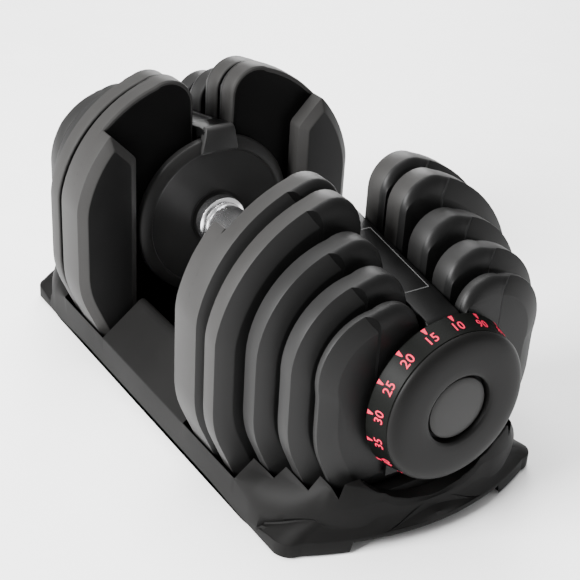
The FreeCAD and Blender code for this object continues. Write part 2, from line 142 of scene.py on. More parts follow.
def round_edges(bm, width, segments=2, sharper_than=30.0, edges=None):
    limit = math.radians(sharper_than)
    if edges is None:
        edges = [e for e in bm.edges if len(e.link_faces) == 2 and e.calc_face_angle() > limit]
    bmesh.ops.bevel(bm, geom=edges, offset=width, offset_type="OFFSET", segments=segments,
                    profile=0.5, affect="EDGES", clamp_overlap=True, material=-1)


def mirror_x(bm):
    bmesh.ops.scale(bm, vec=(-1.0, 1.0, 1.0), verts=bm.verts)


def finish_piece(name, bm, body, materials, replaced=(), sharp=32.0):
    """Turns a bmesh in mm into a finished piece of the dumbbell."""
    bmesh.ops.recalc_face_normals(bm, faces=bm.faces)
    bmesh.ops.scale(bm, vec=(MM, MM, MM), verts=bm.verts)
    mesh = bpy.data.meshes.new(name)
    bm.to_mesh(mesh)
    bm.free()
    for material in materials:
        mesh.materials.append(material)
    mesh.shade_smooth()
    mesh.set_sharp_from_angle(angle=math.radians(sharp))
    piece = bpy.data.objects.new(name, mesh)
    bpy.context.scene.collection.objects.link(piece)
    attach(piece, body)
    if replaced:
        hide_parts(*replaced)
    return piece


# ------------------------------------------------------------------ materials
def group_sockets(group, inputs, outputs):
    for name, kind, value in inputs:
        socket = group.interface.new_socket(name=name, in_out="INPUT", socket_type=kind)
        socket.default_value = value
    for name, kind in outputs:
        group.interface.new_socket(name=name, in_out="OUTPUT", socket_type=kind)


def moulded_grain_group():
    """Fine moulded texture: a height, a gloss variation and a colour variation."""
    group = bpy.data.node_groups.new("moulded_grain", "ShaderNodeTree")
    group_sockets(group, [("Scale", "NodeSocketFloat", 900.0), ("Gloss", "NodeSocketFloat", 0.45),
                          ("Spread", "NodeSocketFloat", 0.08),
                          ("Colour", "NodeSocketColor", (0.05, 0.05, 0.05, 1.0)),
                          ("Worn", "NodeSocketColor", (0.07, 0.07, 0.07, 1.0))],
                  [("Color", "NodeSocketColor"), ("Roughness", "NodeSocketFloat"),
                   ("Height", "NodeSocketFloat")])
    nodes, links = group.nodes, group.links
    put_in = nodes.new("NodeGroupInput")
    put_out = nodes.new("NodeGroupOutput")
    where = nodes.new("ShaderNodeTexCoord")
    fine = nodes.new("ShaderNodeTexNoise")
    fine.inputs["Detail"].default_value = 3.0
    fine.inputs["Roughness"].default_value = 0.6
    links.new(where.outputs["Object"], fine.inputs["Vector"])
    links.new(put_in.outputs["Scale"], fine.inputs["Scale"])
    broad = nodes.new("ShaderNodeTexNoise")
    broad.inputs["Scale"].default_value = 14.0
    broad.inputs["Detail"].default_value = 4.0
    links.new(where.outputs["Object"], broad.inputs["Vector"])
    ease = nodes.new("ShaderNodeMapRange")
    ease.inputs["From Min"].default_value = 0.35
    ease.inputs["From Max"].default_value = 0.68
    links.new(broad.outputs["Fac"], ease.inputs["Value"])
    tint = nodes.new("ShaderNodeMix")
    tint.data_type = "RGBA"
    links.new(ease.outputs["Result"], tint.inputs["Factor"])
    links.new(put_in.outputs["Colour"], tint.inputs["A"])
    links.new(put_in.outputs["Worn"], tint.inputs["B"])
    links.new(tint.outputs["Result"], put_out.inputs["Color"])
    swing = nodes.new("ShaderNodeMath")
    swing.operation = "MULTIPLY"
    links.new(ease.outputs["Result"], swing.inputs[0])
    links.new(put_in.outputs["Spread"], swing.inputs[1])
    total = nodes.new("ShaderNodeMath")
    total.operation = "ADD"
    links.new(swing.outputs["Value"], total.inputs[0])
    links.new(put_in.outputs["Gloss"], total.inputs[1])
    links.new(total.outputs["Value"], put_out.inputs["Roughness"])
    links.new(fine.outputs["Fac"], put_out.inputs["Height"])
    return group


GRAIN = moulded_grain_group()


def plastic(name, colour, worn, gloss, spread=0.08, scale=900.0, bump=0.12, specular=0.5):
    """Moulded plastic or rubber with its own grain."""
    material = bpy.data.materials.new(name)
    material.use_nodes = True
    nodes, links = material.node_tree.nodes, material.node_tree.links
    shader = nodes["Principled BSDF"]
    shader.inputs["Specular IOR Level"].default_value = specular
    grain = nodes.new("ShaderNodeGroup")
    grain.node_tree = GRAIN
    grain.inputs["Scale"].default_value = scale
    grain.inputs["Gloss"].default_value = gloss
    grain.inputs["Spread"].default_value = spread
    grain.inputs["Colour"].default_value = (*colour, 1.0)
    grain.inputs["Worn"].default_value = (*worn, 1.0)
    bumps = nodes.new("ShaderNodeBump")
    bumps.inputs["Strength"].default_value = bump
    bumps.inputs["Distance"].default_value = 0.0002
    links.new(grain.outputs["Color"], shader.inputs["Base Color"])
    links.new(grain.outputs["Roughness"], shader.inputs["Roughness"])
    links.new(grain.outputs["Height"], bumps.inputs["Height"])
    links.new(bumps.outputs["Normal"], shader.inputs["Normal"])
    return material


def metal(name, colour, worn, gloss, spread, scale=400.0, bump=0.05):
    """Bare or plated metal with fine tool marks."""
    material = plastic(name, colour, worn, gloss, spread, scale, bump)
    nodes = material.node_tree.nodes
    nodes["Principled BSDF"].inputs["Metallic"].default_value = 1.0
    return material


def grey(level, warm=0.0):
    return (level * (1.0 + warm), level, level * (1.0 - warm))


COVER_DARK = plastic("plate_cover_charcoal", grey(0.0042), grey(0.0055), 0.42, specular=0.13)
# Band finishes, lighter than the cover: partly the edge's own tone and partly painted light where the band
# faces the lamps; the grey one, on plates 1 and 2, is lighter still, also partly painted light.
BAND_CHARCOAL_AND_PAINTED_LIGHT = plastic("plate_band_charcoal", grey(0.0080, 0.01), grey(0.0096, 0.01), 0.46, specular=0.14)
BAND_GREY_AND_PAINTED_LIGHT = plastic("plate_band_grey", grey(0.0140, 0.03), grey(0.0162, 0.03), 0.48, specular=0.15)
# Painted light: lighter grey for the bevel beside the ears, where it faces up to the lamps.
BEVEL_PAINTED_LIGHT = plastic("plate_bevel_grey", grey(0.0074, 0.01), grey(0.0088, 0.01), 0.44, specular=0.14)
# Black inner face, also used as painted shade on the pads' end walls.
INNER_BLACK_AND_SHADE = plastic("plate_inner_black", grey(0.0012), grey(0.0018), 0.50, specular=0.05)
TRAY_PLASTIC = plastic("tray_grey", grey(0.0030, 0.03), grey(0.0038, 0.03), 0.52, scale=700.0, specular=0.07)
DISC_PLASTIC = plastic("disc_black", grey(0.0078, 0.02), grey(0.0094, 0.02), 0.42, specular=0.14)
RIM_PLASTIC = plastic("disc_rim", grey(0.0074, 0.02), grey(0.0090, 0.02), 0.42, specular=0.16)
TAB_PLASTIC = plastic("bridge_tab", grey(0.010, 0.01), grey(0.012, 0.01), 0.45, specular=0.16)
BRIDGE_PLASTIC = plastic("bridge_black", grey(0.0014), grey(0.0022), 0.32, specular=0.10)
LINE_PAINT = plastic("pale_line", grey(0.06), grey(0.08), 0.5)
DIAL_RIM = plastic("dial_rim_black", (0.0012, 0.0014, 0.0011), (0.0017, 0.0019, 0.0016), 0.44, specular=0.05)
DIAL_FACE = plastic("dial_face_grey", grey(0.0034, 0.03), grey(0.0042, 0.03), 0.42, specular=0.09)
CAP_PLASTIC = plastic("cap_charcoal", grey(0.0110, 0.03), grey(0.0128, 0.03), 0.42, specular=0.18)
# Painted shadow: near-black for the cap's ring and side down in the dial's recess.
CAP_SHADOW = plastic("cap_ring_painted_shadow", grey(0.0008), grey(0.0012), 0.45, specular=0.05)
NUMBER_RED = plastic("number_red", (0.42, 0.006, 0.036), (0.48, 0.009, 0.046), 0.50, specular=0.12)
RUBBER = plastic("feet_rubber", grey(0.004), grey(0.006), 0.75, specular=0.12)
CHROME = metal("grip_chrome", (0.92, 0.92, 0.93), (0.95, 0.95, 0.96), 0.20, 0.05)
STEEL = metal("zinc_steel", (0.40, 0.40, 0.39), (0.48, 0.48, 0.47), 0.30, 0.12)
IRON = plastic("core_black_oxide", grey(0.0040), grey(0.0060), 0.5, 0.15, 400.0, 0.05, specular=0.10)

SLOT_MATERIALS = {
    "plate_cover_light": BAND_GREY_AND_PAINTED_LIGHT, "plate_cover_dark": COVER_DARK, "core_iron": IRON,
    "tray_plastic": TRAY_PLASTIC, "feet_rubber": RUBBER, "grip_chrome": CHROME, "steel": STEEL,
    "disc_plastic": DISC_PLASTIC, "bridge_plastic": BRIDGE_PLASTIC,
    "dial_rim_plastic": DIAL_RIM, "dial_face_plastic": DIAL_FACE, "cap_plastic": CAP_PLASTIC,
}


def dress_frame_nodes():
    """Gives the nodes that stay in view as they are the finish of their slot."""
    for part in frame["record"]["subparts"]:
        node = frame["nodes"][part["node"]]
        node.data.materials.clear()
        node.data.materials.append(SLOT_MATERIALS[part["material_slot"]])


# ------------------------------------------------------------------ weight plates
def outline_points(plate, inset):
    """Corner points of half a plate's outline, drawn in by inset."""
    w = plate["w"] - inset
    side_top = plate["side_top"] - 0.45 * inset
    side_low = plate["side_low"] + 0.45 * inset
    low = plate["low"] + inset
    radius = CROWN_R - 0.5 * inset
    centre = Vector((SLOT_HALF + radius, plate["top"] - inset - radius))
    crown_end = centre + radius * Vector((math.cos(CROWN_END), math.sin(CROWN_END)))
    side = Vector((w, side_top))
    chord = crown_end - side
    out = Vector((chord.y, -chord.x)).normalized()
    bulge = (side + crown_end) / 2 + out * SHOULDER_BULGE
    return dict(foot=Vector((w - (side_low - low) * LOWER_LEAN, low)),
                side_low=Vector((w, side_low)), side_top=side, bulge=bulge, crown_end=crown_end)


def arc_points(a, middle, b, count):
    """Evenly spaced points on the arc through three points, ends included."""
    ax, ay, bx, by, cx, cy = a.x, a.y, middle.x, middle.y, b.x, b.y
    d = 2 * (ax * (by - cy) + bx * (cy - ay) + cx * (ay - by))
    ux = ((ax * ax + ay * ay) * (by - cy) + (bx * bx + by * by) * (cy - ay)
          + (cx * cx + cy * cy) * (ay - by)) / d
    uy = ((ax * ax + ay * ay) * (cx - bx) + (bx * bx + by * by) * (ax - cx)
          + (cx * cx + cy * cy) * (bx - ax)) / d
    centre = Vector((ux, uy))
    start = math.atan2(ay - uy, ax - ux)
    sweep = math.atan2(cy - uy, cx - ux) - start
    sweep = (sweep + math.pi) % math.tau - math.pi
    radius = (a - centre).length
    points = []
    for step in range(count):
        angle = start + sweep * step / (count - 1)
        points.append(centre + radius * Vector((math.cos(angle), math.sin(angle))))
    return points


def softened(before, corner, after, reach=3.0, steps=2):
    """Points that round off a corner."""
    a = corner + (before - corner).normalized() * reach
    b = corner + (after - corner).normalized() * reach
    points = []
    for step in range(steps + 1):
        share = step / steps
        points.append(a * (1 - share) ** 2 + corner * 2 * share * (1 - share) + b * share ** 2)
    return points


HOOK_START = math.acos(SLOT_HALF / HOOK_R)


def side_points(plate, inset):
    """Foot, side and shoulder of half a plate, from the underside to the crown."""
    at = outline_points(plate, inset)
    centre = Vector((0.0, at["foot"].y))
    shoulder = arc_points(at["side_top"], at["bulge"], at["crown_end"], SHOULDER_POINTS)
    points = softened(centre, at["foot"], at["side_low"], 4.0, 3)
    points += softened(at["foot"], at["side_low"], at["side_top"], 15.0, 6)
    points += softened(at["side_low"], at["side_top"], shoulder[1], 5.0, 3)
    return points + shoulder[1:]


def under_block(spot):
    """True where plate 1's thick side block stands on its inner face."""
    return spot.y < BLOCK_EDGE_Z + BLOCK_SLOPE * (spot.x - BLOCK_Y0)


def crown_points(plate, inset, start, slot_inset=None):
    """Points round an ear's crown, from the shoulder to the slot."""
    slot_inset = inset if slot_inset is None else slot_inset
    centre = Vector((SLOT_HALF + CROWN_R, plate["top"] - CROWN_R))
    points = []
    for step in range(1, CROWN_POINTS + 1):
        turn = start + (math.pi - start) * step / CROWN_POINTS
        radius = CROWN_R - inset - (slot_inset - inset) * ease(step / CROWN_POINTS, 0.45, 0.95)
        points.append(centre + radius * Vector((math.cos(turn), math.sin(turn))))
    return points


def half_ring(plate, station, blocked):
    """Half of one ring of a plate: (x, y, z) points from the foot to the slot's bottom."""
    points = []
    outer = side_points(plate, station["inset"])
    flush = side_points(plate, 0.0)
    for spot, edge in zip(outer, flush):
        covered = blocked and station["inner"] and under_block(edge)
        spot = edge if covered else spot
        points.append(Vector((plate["x0"] if covered else station["x"], spot.x, spot.y)))
    ear_inset = min(station["inset"], EAR_INSET)
    for spot in crown_points(plate, ear_inset, CROWN_END):
        points.append(Vector((station["x"], spot.x, spot.y)))
    first = plate["top"] - CROWN_R
    last = AXIS_Z + HOOK_R * math.sin(HOOK_START) + 8.0
    for step in (1, 2, 3, 4):
        share = step / 4.0
        edge = ear_inset * (1.0 - share) + min(station["inset"], 1.0) * share
        points.append(Vector((station["x"], SLOT_HALF + edge, first + (last - first) * share)))
    for step in range(HOOK_POINTS):
        turn = HOOK_START - (HOOK_START + math.pi / 2) * step / (HOOK_POINTS - 1)
        if station["hook"]:
            spot = HOOK_R * Vector((math.cos(turn), math.sin(turn)))
        elif turn > 0:
            spot = Vector((SLOT_HALF, SLOT_HALF * math.tan(turn)))
        else:
            spot = SLOT_HALF * Vector((math.cos(turn), math.sin(turn)))
        points.append(Vector((station["hook_x"], spot.x, AXIS_Z + spot.y)))
    return points


def whole_ring(plate, station, blocked):
    half = half_ring(plate, station, blocked)
    other = [Vector((p.x, -p.y, p.z)) for p in reversed(half[:-1])]
    return half + other


def plate_stations(plate, number):
    """Stations of a plate from its inner face to its outer face."""
    x0, x1 = plate["x0"], plate["x1"]
    inner = 3.0 if number == 1 else 1.6
    stations = []
    for turn in (0.0, 30.0, 60.0, 90.0):
        angle = math.radians(turn)
        x = x0 + inner * (1.0 - math.cos(angle))
        stations.append(dict(x=x, inset=inner * (1.0 - math.sin(angle)), inner=True, hook=False, hook_x=x))
    floor_x = x1 - HOOK_DEPTH
    start = x1 - BEVEL_X0
    rise = BEVEL_X0 - BEVEL_X1
    steps = [(start - 0.5, 0.0), (start - 0.1, 0.1), (start + 0.2, 0.5),
             (start + rise / 2, BEVEL_W / 2), (x1 - BEVEL_X1 - 0.2, BEVEL_W - 1.0), (x1 - BEVEL_X1, BEVEL_W)]
    hooks = [(False, floor_x - 2.0), (False, floor_x - 1.0), (False, floor_x), (True, floor_x),
             (True, floor_x + 1.0), (True, x1 - BEVEL_X1)]
    for (x, inset), (hook, hook_x) in zip(steps, hooks):
        stations.append(dict(x=x, inset=inset, inner=False, hook=hook, hook_x=hook_x))
    return stations


# Rings of the raised parts, as (how far back from the face, how far drawn in).
PAD_DOME = [(5.55, 0.0), (5.0, 0.05), (3.6, 0.7), (2.2, 2.2), (1.1, 4.6), (0.4, 7.6), (0.1, 10.0),
            (0.0, 11.5)]
BLOCK_DOME = [(5.6, 0.0), (5.2, 0.1), (4.8, 0.5), (0.5, 5.6), (0.1, 6.1), (0.0, 6.6)]


def pad_ring(plate, side, back, inset):
    """One ring of an ear's raised pad, back from the plate's outer face."""
    wall_y = PAD_Y + PAD_LEAN * back
    at = outline_points(plate, inset)
    shoulder = arc_points(at["side_top"], at["bulge"], at["crown_end"], 200)
    centre = Vector((SLOT_HALF + CROWN_R, plate["top"] - CROWN_R))
    radius = CROWN_R - inset
    crown_y = centre.x + radius * math.cos(CROWN_END)
    if wall_y > at["crown_end"].x:
        corner = min(shoulder, key=lambda p: abs(p.x - wall_y))
    else:
        corner = at["crown_end"]
    points = [Vector((wall_y, PAD_LOW - back)), Vector((wall_y, 0.5 * (PAD_LOW + corner.y))),
              Vector((wall_y, corner.y - 1.2)), corner]
    slot_edge = min(inset * 0.3, 1.5)
    crown = crown_points(plate, inset, CROWN_END, slot_edge)
    first = crown[0]
    for share in (0.25, 0.5, 0.75):
        height = corner.lerp(first, share)
        near = min(shoulder, key=lambda p: abs(p.x - height.x))
        points.append(near if height.x > crown_y else height)
    points += crown
    points += [Vector((SLOT_HALF + slot_edge, centre.y - 8.0)),
               Vector((SLOT_HALF + slot_edge, centre.y - 18.0)),
               Vector((SLOT_HALF + slot_edge, PAD_LOW - back))]
    x = plate["x1"] - back
    return [Vector((x, side * p.x, p.y)) for p in points]


def block_ring(side, x, inset):
    """One ring of a thick side block of plate 1."""
    plate = PLATES[0]
    at = outline_points(plate, inset)
    y0 = BLOCK_Y0 + inset
    z0 = BLOCK_EDGE_Z - 0.4 * inset
    shoulder = arc_points(at["side_top"], at["bulge"], at["crown_end"], 160)
    kept = [p for p in shoulder if p.y < z0 + BLOCK_SLOPE * (p.x - y0)]
    every = [kept[round(k * (len(kept) - 1) / 9.0)] for k in range(10)]
    low_inner = Vector((y0, at["foot"].y))
    top_inner = Vector((y0, z0))
    points = softened(low_inner, at["foot"], at["side_low"], 4.0, 3)
    points += softened(at["foot"], at["side_low"], at["side_top"], 15.0, 6)
    points += softened(at["side_low"], at["side_top"], every[1], 5.0, 3)
    points += every[1:-1]
    points += softened(every[-2], every[-1], top_inner, 1.5)
    points += softened(every[-1], top_inner, low_inner, 2.5)
    points += [low_inner]
    return [Vector((x, side * p.x, p.y)) for p in points]


ON_BAND, ON_COVER, ON_INNER_AND_SHADE, ON_PAINTED_LIGHT_BEVEL = range(4)      # a plate's finishes, in its materials' order


def pour_into(bm, shell):
    """Adds a shell to a plate, once its seams are merged and its faces point outwards."""
    bmesh.ops.remove_doubles(shell, verts=shell.verts, dist=0.002)
    bmesh.ops.recalc_face_normals(shell, faces=shell.faces)
    holder = bpy.data.meshes.new("shell")
    shell.to_mesh(holder)
    shell.free()
    bm.from_mesh(holder)
    bpy.data.meshes.remove(holder)


def add_shell(bm, rings, finish, band_count, wall=None):
    """Adds a closed ringed body with its own finish; its first bands are banded, and the faces that wall
    picks are painted black as painted shade.
    """
    shell = bmesh.new()
    bands, cap = extruded_rings(shell, rings)
    for face in shell.faces:
        face.material_index = finish
    cap.material_index = ON_COVER
    for band in bands[:band_count]:
        for face in band:
            face.material_index = ON_BAND
    # Painted shade: faces that wall picks take the black inner finish.
    for face in shell.faces:
        if wall is not None and wall(face.calc_center_median()):
            face.material_index = ON_INNER_AND_SHADE
    pour_into(bm, shell)


def add_plate_body(bm, plate, number):
    """Adds a plate's bevelled body: banded edge in a lighter finish that is partly painted light, a bevel
    lightened as painted light beside the ears, black inner face.
    """
    body = bmesh.new()
    rings = [whole_ring(plate, s, number == 1) for s in plate_stations(plate, number)]
    bands, cap = extruded_rings(body, rings)
    banded = set().union(*bands)
    for face in body.faces:
        face.material_index = ON_COVER if face in banded or face is cap else ON_INNER_AND_SHADE
    # Partly painted light: the band takes the lighter band finish.
    for band in bands[:5]:
        for face in band:
            face.material_index = ON_BAND
    # Painted light: bevel faces beside the ears take the lighter bevel grey.
    for band in bands[5:]:
        for face in band:
            if abs(face.calc_center_median().y) > PAD_Y:
                face.material_index = ON_PAINTED_LIGHT_BEVEL
    pour_into(bm, body)


def weight_plate(number, end):
    """One weight plate: bevelled body, two ear pads and, on plate 1, two thick side blocks."""
    plate = PLATES[number - 1]
    bm = bmesh.new()
    add_plate_body(bm, plate, number)

    # Painted shade: the pad's end wall, in shadow beside the pad, takes the black inner finish.
    def end_wall(spot):
        return abs(spot.y) > PAD_Y + PAD_LEAN * (plate["x1"] - spot.x) - 0.4

    for side in (1.0, -1.0):
        pad = [pad_ring(plate, side, back, inset) for back, inset in PAD_DOME]
        add_shell(bm, pad, ON_COVER, 1, end_wall)
        if number == 1:
            block = [block_ring(side, plate["x0"] + 0.02, 0.0)]
            block += [block_ring(side, BLOCK_X0 + back, inset) for back, inset in BLOCK_DOME]
            # The block's sides and chamfer take the band finish, partly painted light.
            add_shell(bm, block, ON_BAND, len(BLOCK_DOME))
    if end < 0:
        mirror_x(bm)
    side_name = "right" if end > 0 else "left"
    # Plates 1 and 2 take the lighter band grey, partly painted light.
    band = BAND_GREY_AND_PAINTED_LIGHT if number <= 2 else BAND_CHARCOAL_AND_PAINTED_LIGHT
    name = "weight_plate_%d_%s" % (number, side_name)
    finish_piece(name, bm, "plate_%d_%s" % (number, side_name),
                 [band, COVER_DARK, INNER_BLACK_AND_SHADE, BEVEL_PAINTED_LIGHT], ["plate_%d_%s" % (number, side_name)],
                 sharp=28.0)


# ------------------------------------------------------------------ handle
def chrome_grip():
    bm = bmesh.new()
    half = [(0.0, 17.8), (20.0, 17.7), (40.0, 17.2), (56.0, 16.4), (61.0, 16.2), (61.6, 15.4),
            (63.4, 15.4), (64.0, 16.2), (65.4, 16.6), (66.4, 19.0), (67.2, 19.6), (74.6, 19.6),
            (75.5, 19.0), (GRIP_HALF, 18.0), (GRIP_HALF, 8.2)]
    profile = [(-x, r) for x, r in reversed(half[1:])] + half
    lathe(bm, profile + profile[:1], 96)
    finish_piece("chrome_grip", bm, "handle", [CHROME], ["grip_sleeve"])


def guard_disc(end_name):
    """Round guard beside the hand, with a raised rounded rim and a dished middle."""
    end = SIDES[end_name]
    bm = bmesh.new()
    profile = [(DISC_X0 + 2.6, 8.1), (DISC_X0 + 2.6, 20.4), (DISC_X0 + 1.9, 21.4), (DISC_X0 + 1.7, 22.4),
               (DISC_X0 + 1.7, 55.0), (DISC_X0 + 1.4, 55.7), (DISC_X0 + 0.3, 56.4), (DISC_X0, 57.2),
               (DISC_X0 + 0.1, 58.4), (DISC_X0 + 2.9, 64.0), (DISC_X0 + 3.7, 65.0), (DISC_X0 + 4.8, DISC_R),
               (DISC_X1, DISC_R), (DISC_X1, 58.5), (DISC_X0 + 4.0, 58.0), (DISC_X0 + 4.0, 8.1)]
    lathe(bm, profile + profile[:1], 128)
    for face in bm.faces:
        centre = face.calc_center_median()
        radius = math.hypot(centre.y, centre.z - AXIS_Z)
        face.material_index = 1 if radius > 56.0 and centre.x < DISC_X1 - 0.5 else 0
    if end < 0:
        mirror_x(bm)
    finish_piece("guard_disc_" + end_name, bm, "handle",
                 [DISC_PLASTIC, RIM_PLASTIC], ["inner_disc_" + end_name])


def bridge_top(x):
    """Height of the bridge's top at x."""
    return BRIDGE_Z0 + (BRIDGE_Z1 - BRIDGE_Z0) * (x - BRIDGE_X0) / (BRIDGE_X1 - BRIDGE_X0)


def bridge_arm(end_name):
    """Black arm that runs in the plates' slots from the guard disc to the dial's pointer."""
    end = SIDES[end_name]
    bm = bmesh.new()
    x0, x1, half = 76.2, BRIDGE_X1, 13.0
    outline = [(x0, bridge_top(x0) - 1.5), (x0 + 8.0, bridge_top(x0 + 8.0))]
    outline += [(x1 - 5.0, bridge_top(x1 - 5.0)), (x1, bridge_top(x1) - 2.0)]
    outline += [(x1, bridge_top(x1) - 8.5), (x1 - 4.0, bridge_top(x1) - 11.0)]
    outline += [(86.6, 163.8), (86.6, 165.8), (x0, 165.8)]
    slab(bm, [(x, -half, z) for x, z in outline], (0.0, 2 * half, 0.0))
    bmesh.ops.recalc_face_normals(bm, faces=bm.faces)
    round_edges(bm, 1.1, 3)
    if end < 0:
        mirror_x(bm)
    finish_piece("bridge_arm_" + end_name, bm, "handle",
                 [BRIDGE_PLASTIC], ["bridge_" + end_name])


def bridge_tab(end_name):
    """Grey tab of the bridge that laps over the guard disc's rim."""
    end = SIDES[end_name]
    bm = bmesh.new()
    side = [(75.2, 154.5), (73.6, 157.5), (73.7, 170.5), (74.6, 174.0), (76.6, 175.6), (80.5, 175.4),
            (80.5, 165.4), (77.5, 164.0), (77.5, 154.5)]
    slab(bm, [(x, -16.0, z) for x, z in side], (0.0, 32.0, 0.0))
    for vert in bm.verts:
        vert.co.y *= 1.0 - 0.26 * (vert.co.z - 154.5) / 21.0
    bmesh.ops.recalc_face_normals(bm, faces=bm.faces)
    round_edges(bm, 0.9, 3)
    if end < 0:
        mirror_x(bm)
    finish_piece("bridge_tab_" + end_name, bm, "handle", [TAB_PLASTIC])


def bridge_lines(end_name):
    """Thin printed border along the bridge's top."""
    end = SIDES[end_name]
    bm = bmesh.new()
    corners = [(104.0, 9.4), (168.0, 9.4), (168.0, -9.4), (104.0, -9.4)]
    reach = 0.28              # half the width of the line
    for (xa, ya), (xb, yb) in zip(corners, corners[1:] + corners[:1]):
        lo_x, hi_x = min(xa, xb) - reach, max(xa, xb) + reach
        lo_y, hi_y = min(ya, yb) - reach, max(ya, yb) + reach
        box = [(lo_x, lo_y), (hi_x, lo_y), (hi_x, hi_y), (lo_x, hi_y)]
        slab(bm, [(x, y, bridge_top(x) - 0.3) for x, y in box], (0.0, 0.0, 0.42))
    if end < 0:
        mirror_x(bm)
    finish_piece("bridge_border_" + end_name, bm, "handle", [LINE_PAINT])


# ------------------------------------------------------------------ dial
def rim_radius(x):
    """Radius of the tapered number ring at x."""
    return RIM_IN_R + (RIM_OUT_R - RIM_IN_R) * (x - DIAL_X0) / (RIM_X1 - DIAL_X0)


def number_ring(end_name):
    """Tapered ring that carries the numbers."""
    end = SIDES[end_name]
    bm = bmesh.new()
    profile = [(DIAL_X0, 12.1), (DIAL_X0, 54.4), (DIAL_X0 + 0.4, 55.4), (DIAL_X0 + 1.4, 55.75),
               (RIM_X1 - 0.6, rim_radius(RIM_X1 - 0.6)), (RIM_X1, RIM_OUT_R - 0.5), (RIM_X1, 47.5),
               (202.2, 50.0), (202.2, 12.1)]
    lathe(bm, profile + profile[:1], 136)
    if end < 0:
        mirror_x(bm)
    finish_piece("number_ring_" + end_name, bm, "dial_" + end_name,
                 [DIAL_RIM], ["dial_ring_" + end_name])


def dial_cover(end_name):
    """Crowned grey cover with a wide rounded edge."""
    end = SIDES[end_name]
    bm = bmesh.new()
    profile = [(RIM_X1 + 0.1, 51.2), (RIM_X1 + 0.3, 51.8), (RIM_X1 + 0.9, 52.0), (217.6, 51.7), (218.8, 50.9),
               (219.9, 49.5), (220.8, 47.5), (221.4, 45.0), (221.8, 42.0), (HALF_LENGTH, 38.0), (221.9, 31.0),
               (221.6, 26.4), (221.2, 24.8), (220.5, 23.9), (219.4, 23.6),
               (213.0, 23.6), (213.0, 14.1), (212.0, 14.1), (212.0, 25.5), (RIM_X1 + 0.1, 25.5)]
    lathe(bm, profile + profile[:1], 136)
    if end < 0:
        mirror_x(bm)
    finish_piece("dial_cover_" + end_name, bm, "dial_" + end_name,
                 [DIAL_FACE], ["dial_face_" + end_name])


def centre_cap(end_name):
    """Round cap in the dial's recess, with a near-black ring round it that is painted shadow of the recess.
    """
    end = SIDES[end_name]
    bm = bmesh.new()
    profile = [(213.1, 0.0), (213.1, 23.4), (215.4, 23.4), (215.4, 21.6), (217.8, 21.6), (218.6, 21.2),
               (219.0, 20.4), (219.2, 17.0), (219.4, 9.0), (219.45, 0.0)]
    lathe(bm, profile, 96)
    # Painted shadow: the cap's flange ring and side take the near-black finish.
    for face in bm.faces:
        centre = face.calc_center_median()
        radius = math.hypot(centre.y, centre.z - AXIS_Z)
        face.material_index = 1 if radius > 21.65 or centre.x < 215.5 else 0
    if end < 0:
        mirror_x(bm)
    finish_piece("centre_cap_" + end_name, bm, "dial_" + end_name,
                 [CAP_PLASTIC, CAP_SHADOW], ["dial_cap_" + end_name])


def rim_point(angle, along, lift):
    """Point on the number ring: angle from the top towards -Y, along the axis, lifted off."""
    radius = rim_radius(along) + lift
    return Vector((along, -radius * math.sin(angle), AXIS_Z + radius * math.cos(angle)))


def printed_numbers(end_name):
    """Red numbers and pointer marks wrapped round the number ring."""
    end = SIDES[end_name]
    bm = bmesh.new()
    for number, setting in enumerate(SETTINGS):
        angle = math.tau * number / POSITIONS * end
        words = bpy.data.curves.new("number", "FONT")
        words.body = str(setting)
        words.size = 8.7
        words.align_x = "CENTER"
        words.align_y = "CENTER"
        words.extrude = 0.16
        words.offset = 0.08
        words.resolution_u = 3
        words.space_character = 1.05
        holder = bpy.data.objects.new("number", words)
        bpy.context.scene.collection.objects.link(holder)
        flat = bpy.data.meshes.new_from_object(holder)
        piece = bmesh.new()
        piece.from_mesh(flat)
        for vert in piece.verts:
            side, up, lift = vert.co
            turn = angle - end * side / NUMBER_R
            vert.co = rim_point(turn, NUMBER_X - up, lift + 0.02)
        bmesh.ops.recalc_face_normals(piece, faces=piece.faces)
        piece.to_mesh(flat)
        piece.free()
        bm.from_mesh(flat)
        bpy.data.objects.remove(holder)
        bpy.data.curves.remove(words)
        bpy.data.meshes.remove(flat)
        shape = [(-1.5, 200.6), (-0.6, 204.4), (0.0, 205.2), (0.6, 204.4), (1.5, 200.6)]
        outline = [rim_point(angle - end * side / NUMBER_R, along, -0.15) for side, along in shape]
        slab(bm, outline, 0.3 * Vector((0.0, -math.sin(angle), math.cos(angle))))
    if end < 0:
        mirror_x(bm)
    finish_piece("dial_numbers_" + end_name, bm, "dial_" + end_name,
                 [NUMBER_RED])


# ------------------------------------------------------------------ tray
LIP_END = 215.0
LIP_CORNER_X = 193.0
LIP_CORNER_R = 12.0
BODY_CORNER_X = 150.0
BODY_END = 206.0
BODY_NOSE = 210.5
RIM_Z = 26.6              # top of the thin wall beside plates 1 and 2
UNDER_Z = 1.5             # underside, clear of the floor on its rubber feet
ARCH_Z = 9.0              # underside of the raised ends
NOSE_X = 203.0            # where the rails start to fall to the nose
NOSE_STEPS = 22


def lip_half_width(x):
    """Half width of the tray's lower lip at x."""
    start = LIP_CORNER_X - LIP_CORNER_R
    knee = TRAY_W - LIP_CORNER_R
    if x <= start:
        return TRAY_W
    if x <= LIP_CORNER_X:
        return knee + math.sqrt(max(0.0, LIP_CORNER_R ** 2 - (x - start) ** 2))
    return knee * math.sqrt(max(0.0, (LIP_END - x) / (LIP_END - LIP_CORNER_X)))


def body_half_width(x):
    """Half width of the tray's upper body at x."""
    if x <= BODY_CORNER_X:
        return TRAY_W
    if x <= BODY_END:
        share = (x - BODY_CORNER_X) / (BODY_END - BODY_CORNER_X)
        return 45.0 + 60.0 * (1.0 - share ** 1.8) ** (1.0 / 1.8)
    return 45.0 * math.sqrt(max(0.0, (BODY_NOSE - x) / (BODY_NOSE - BODY_END)))


